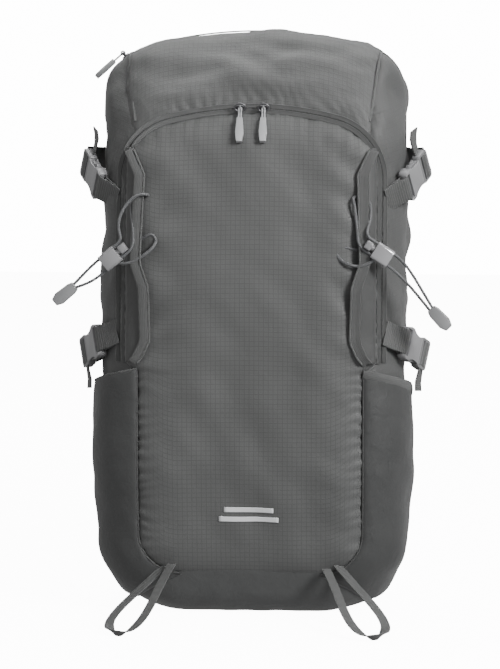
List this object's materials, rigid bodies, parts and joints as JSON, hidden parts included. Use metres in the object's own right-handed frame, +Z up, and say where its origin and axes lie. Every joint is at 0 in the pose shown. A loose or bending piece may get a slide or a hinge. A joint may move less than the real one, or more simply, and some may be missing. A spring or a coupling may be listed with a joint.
{
  "type": "hiking backpack",
  "caption": "Upright daypack with a zipped front panel, side pockets, side compression straps with release buckles, elastic cord locks, gear loops, padded harness and hip belt.",
  "frame": {"origin": "middle of the flat underside of the base, where the pack stands", "axes": "+Z up along the pack's height, the front panel faces -Y, the harness side is +Y, +X is to the right seen from the front"},
  "size_m": [0.3906, 0.3445, 0.581],
  "materials": {
    "shell_front": "woven",
    "shell_side": "woven",
    "shell_dark": "woven",
    "mesh_back": "woven",
    "zip_tape": "woven",
    "webbing": "woven",
    "cord": "woven",
    "buckle_plastic": "satin",
    "grip_plastic": "satin",
    "slider_metal": "satin",
    "stay_metal": "satin",
    "sheet_plastic": "matte",
    "reflective": "satin"
  },
  "bodies": {
    "pack": {"base_panel": "shell_dark", "front_lower_panel": "shell_front", "top_panel": "shell_front", "crown_panel": "shell_side", "back_panel": "shell_side", "side_panel_left": "shell_side", "side_panel_right": "shell_side", "zip_tapes": "zip_tape", "reflective_strips": "reflective", "frame_sheet": "sheet_plastic", "frame_stay": "stay_metal", "side_pocket_left": "shell_dark", "side_pocket_right": "shell_dark", "compression_tabs": "webbing", "buckle_sockets": "buckle_plastic", "compression_strap_upper_left": "webbing", "compression_strap_upper_right": "webbing", "compression_strap_lower_left": "webbing", "compression_strap_lower_right": "webbing", "back_pads": "mesh_back", "harness_webbing": "webbing"},
    "flap": {"front_flap": "shell_front", "front_zip_inner_tape": "zip_tape", "wings": "shell_front", "wing_edge_tapes": "webbing", "cord_locks": "buckle_plastic", "lock_springs": "slider_metal", "cord_end_caps": "grip_plastic", "elastic_cord_left": "cord", "elastic_cord_right": "cord", "lock_tether_left": "cord", "lock_tether_right": "cord"},
    "front_slider_left": {"front_zip_slider_left": "slider_metal"},
    "front_slider_right": {"front_zip_slider_right": "slider_metal"},
    "front_pull_left": {"front_zip_pull_left": "grip_plastic"},
    "front_pull_right": {"front_zip_pull_right": "grip_plastic"},
    "main_slider": {"main_zip_slider": "slider_metal"},
    "main_pull": {"main_zip_pull": "grip_plastic"},
    "plug_upper_left": {"buckle_plug_upper_left": "buckle_plastic"},
    "plug_upper_right": {"buckle_plug_upper_right": "buckle_plastic"},
    "plug_lower_left": {"buckle_plug_lower_left": "buckle_plastic"},
    "plug_lower_right": {"buckle_plug_lower_right": "buckle_plastic"},
    "loop_left": {"gear_loop_left": "webbing"},
    "loop_right": {"gear_loop_right": "webbing"},
    "haul": {"haul_loop": "webbing"},
    "harness": {"shoulder_strap_left": "mesh_back", "shoulder_strap_right": "mesh_back", "ladder_locks": "buckle_plastic", "sternum_web_left": "webbing", "sternum_web_right": "webbing", "sternum_buckle_socket": "buckle_plastic"},
    "sternum_plug": {"sternum_buckle_plug": "buckle_plastic"},
    "hip_left": {"hip_wing_left": "mesh_back", "belt_buckle_socket": "buckle_plastic"},
    "hip_right": {"hip_wing_right": "mesh_back", "belt_buckle_plug": "buckle_plastic"},
    "button_left": {"cord_lock_button_left": "buckle_plastic"},
    "button_right": {"cord_lock_button_right": "buckle_plastic"}
  },
  "joints": [
    {"name": "front_flap_fold", "type": "hinge", "parent": "pack", "child": "flap", "pos_m": [0, -0.112, 0.258], "axis": [1, 0, 0], "range_deg": [0, 100]},
    {"name": "front_slider_run_left", "type": "slide", "parent": "flap", "child": "front_slider_left", "axis": [-1, 0, 0], "range_m": [0, 0.04]},
    {"name": "front_pull_swing_left", "type": "hinge", "parent": "front_slider_left", "child": "front_pull_left", "pos_m": [-0.0115, -0.06905, 0.5089], "axis": [-1, 0, 0], "range_deg": [0, 120]},
    {"name": "front_slider_run_right", "type": "slide", "parent": "flap", "child": "front_slider_right", "axis": [1, 0, 0], "range_m": [0, 0.04]},
    {"name": "front_pull_swing_right", "type": "hinge", "parent": "front_slider_right", "child": "front_pull_right", "pos_m": [0.0115, -0.06905, 0.5089], "axis": [-1, 0, 0], "range_deg": [0, 120]},
    {"name": "main_slider_run", "type": "slide", "parent": "pack", "child": "main_slider", "axis": [0.7431, 0, 0.6691], "range_m": [0, 0.02]},
    {"name": "main_pull_swing", "type": "hinge", "parent": "main_slider", "child": "main_pull", "pos_m": [-0.1385, 0.036, 0.5593], "axis": [0, 1, 0], "range_deg": [0, 120]},
    {"name": "unclip_upper_left", "type": "slide", "parent": "pack", "child": "plug_upper_left", "axis": [-0.4066, 0.7647, 0.5], "range_m": [0, 0.026], "deforming": ["compression_strap_upper_left"]},
    {"name": "unclip_upper_right", "type": "slide", "parent": "pack", "child": "plug_upper_right", "axis": [0.4066, 0.7647, 0.5], "range_m": [0, 0.026], "deforming": ["compression_strap_upper_right"]},
    {"name": "unclip_lower_left", "type": "slide", "parent": "pack", "child": "plug_lower_left", "axis": [-0.4255, 0.8002, -0.4226], "range_m": [0, 0.026], "deforming": ["compression_strap_lower_left"]},
    {"name": "unclip_lower_right", "type": "slide", "parent": "pack", "child": "plug_lower_right", "axis": [0.4255, 0.8002, -0.4226], "range_m": [0, 0.026], "deforming": ["compression_strap_lower_right"]},
    {"name": "gear_loop_lift_left", "type": "hinge", "parent": "pack", "child": "loop_left", "pos_m": [-0.081, -0.102, 0.057], "axis": [-0.812, 0.5836, 0], "range_deg": [0, 35]},
    {"name": "gear_loop_lift_right", "type": "hinge", "parent": "pack", "child": "loop_right", "pos_m": [0.081, -0.102, 0.057], "axis": [-0.812, -0.5836, 0], "range_deg": [0, 35]},
    {"name": "haul_loop_fold", "type": "hinge", "parent": "pack", "child": "haul", "pos_m": [0, 0.091, 0.54], "axis": [-1, 0, 0], "range_deg": [0, 30]},
    {"name": "harness_swing", "type": "hinge", "parent": "pack", "child": "harness", "pos_m": [0, 0.092, 0.524], "axis": [1, 0, 0], "range_deg": [0, 40], "deforming": ["harness_webbing"]},
    {"name": "sternum_unclip", "type": "slide", "parent": "harness", "child": "sternum_plug", "axis": [1, 0, 0], "range_m": [0, 0.014], "deforming": ["sternum_web_right"]},
    {"name": "hip_wing_swing_left", "type": "hinge", "parent": "pack", "child": "hip_left", "pos_m": [-0.112, 0.0964, 0.097], "axis": [0, 0, 1], "range_deg": [0, 70]},
    {"name": "hip_wing_swing_right", "type": "hinge", "parent": "pack", "child": "hip_right", "pos_m": [0.112, 0.0964, 0.097], "axis": [0, 0, -1], "range_deg": [0, 70]},
    {"name": "lock_button_left", "type": "slide", "parent": "flap", "child": "button_left", "axis": [-0.766, 0, -0.6428], "range_m": [0, 0.003], "stiffness_N_per_m": 300, "deforming": ["lock_springs"]},
    {"name": "lock_button_right", "type": "slide", "parent": "flap", "child": "button_right", "axis": [0.8387, 0, -0.5446], "range_m": [0, 0.003], "stiffness_N_per_m": 300, "deforming": ["lock_springs"]}
  ]
}
